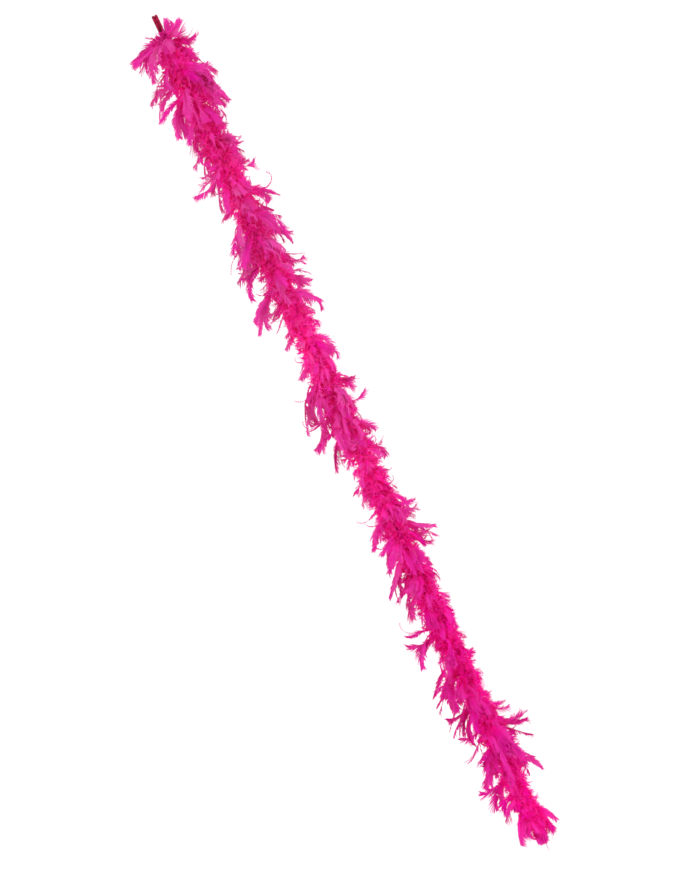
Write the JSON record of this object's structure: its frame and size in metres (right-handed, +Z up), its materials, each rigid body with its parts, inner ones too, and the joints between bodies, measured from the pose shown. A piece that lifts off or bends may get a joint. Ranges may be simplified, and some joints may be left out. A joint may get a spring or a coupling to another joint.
{
  "type": "feather boa",
  "caption": "Hot pink feather boa hanging by the cord loop at its upper end: drooping dyed turkey feathers sewn all round a limp twisted cord that ends in a knot.",
  "frame": {"origin": "inside top of the hanging loop, where a hook bears", "axes": "+Z up along the hanging boa, +X across the loop's two legs, +Y through the loop"},
  "size_m": [0.1515, 0.1529, 1.8],
  "materials": {
    "feather": "dyed turkey feather, soft, slightly see-through",
    "down": "dyed downy feather bases, matt",
    "cord": "dyed soft cotton strands, twisted in pairs",
    "thread": "dyed sewing thread"
  },
  "bodies": {
    "loop": {"hanging_loop": "cord", "loop_whipping": "thread"},
    "length_01": {"core_cord_01": "cord", "binding_thread_01": "thread", "feather_fluff_01": "down", "feathers_01": "feather"},
    "length_02": {"core_cord_02": "cord", "binding_thread_02": "thread", "feather_fluff_02": "down", "feathers_02": "feather"},
    "length_03": {"core_cord_03": "cord", "binding_thread_03": "thread", "feather_fluff_03": "down", "feathers_03": "feather"},
    "length_04": {"core_cord_04": "cord", "binding_thread_04": "thread", "feather_fluff_04": "down", "feathers_04": "feather"},
    "length_05": {"core_cord_05": "cord", "binding_thread_05": "thread", "feather_fluff_05": "down", "feathers_05": "feather"},
    "length_06": {"core_cord_06": "cord", "binding_thread_06": "thread", "feather_fluff_06": "down", "feathers_06": "feather"},
    "length_07": {"core_cord_07": "cord", "binding_thread_07": "thread", "feather_fluff_07": "down", "feathers_07": "feather"},
    "length_08": {"core_cord_08": "cord", "binding_thread_08": "thread", "feather_fluff_08": "down", "feathers_08": "feather"},
    "length_09": {"core_cord_09": "cord", "binding_thread_09": "thread", "feather_fluff_09": "down", "feathers_09": "feather"},
    "length_10": {"core_cord_10": "cord", "binding_thread_10": "thread", "feather_fluff_10": "down", "feathers_10": "feather"},
    "length_11": {"core_cord_11": "cord", "binding_thread_11": "thread", "feather_fluff_11": "down", "feathers_11": "feather", "end_knot": "cord", "cord_tails": "cord"}
  },
  "joints": [
    {"name": "bend_01", "type": "hinge", "parent": "loop", "child": "length_01", "pos_m": [0, 0, -0.046], "axis": [0, 1, 0], "range_deg": [-75, 75], "deforming": ["feathers_01"]},
    {"name": "bend_02", "type": "hinge", "parent": "length_01", "child": "length_02", "pos_m": [0, 0, -0.2004], "axis": [1, 0, 0], "range_deg": [-75, 75], "deforming": ["feathers_02"]},
    {"name": "bend_03", "type": "hinge", "parent": "length_02", "child": "length_03", "pos_m": [0, 0, -0.3548], "axis": [0, -1, 0], "range_deg": [-75, 75], "deforming": ["feathers_03"]},
    {"name": "bend_04", "type": "hinge", "parent": "length_03", "child": "length_04", "pos_m": [0, 0, -0.5092], "axis": [-1, 0, 0], "range_deg": [-75, 75], "deforming": ["feathers_04"]},
    {"name": "bend_05", "type": "hinge", "parent": "length_04", "child": "length_05", "pos_m": [0, 0, -0.6636], "axis": [0, 1, 0], "range_deg": [-75, 75], "deforming": ["feathers_05"]},
    {"name": "bend_06", "type": "hinge", "parent": "length_05", "child": "length_06", "pos_m": [0, 0, -0.818], "axis": [1, 0, 0], "range_deg": [-75, 75], "deforming": ["feathers_06"]},
    {"name": "bend_07", "type": "hinge", "parent": "length_06", "child": "length_07", "pos_m": [0, 0, -0.9724], "axis": [0, -1, 0], "range_deg": [-75, 75], "deforming": ["feathers_07"]},
    {"name": "bend_08", "type": "hinge", "parent": "length_07", "child": "length_08", "pos_m": [0, 0, -1.1268], "axis": [-1, 0, 0], "range_deg": [-75, 75], "deforming": ["feathers_08"]},
    {"name": "bend_09", "type": "hinge", "parent": "length_08", "child": "length_09", "pos_m": [0, 0, -1.2812], "axis": [0, 1, 0], "range_deg": [-75, 75], "deforming": ["feathers_09"]},
    {"name": "bend_10", "type": "hinge", "parent": "length_09", "child": "length_10", "pos_m": [0, 0, -1.4356], "axis": [1, 0, 0], "range_deg": [-75, 75], "deforming": ["feathers_10"]},
    {"name": "bend_11", "type": "hinge", "parent": "length_10", "child": "length_11", "pos_m": [0, 0, -1.59], "axis": [0, -1, 0], "range_deg": [-75, 75], "deforming": ["feathers_11"]}
  ]
}
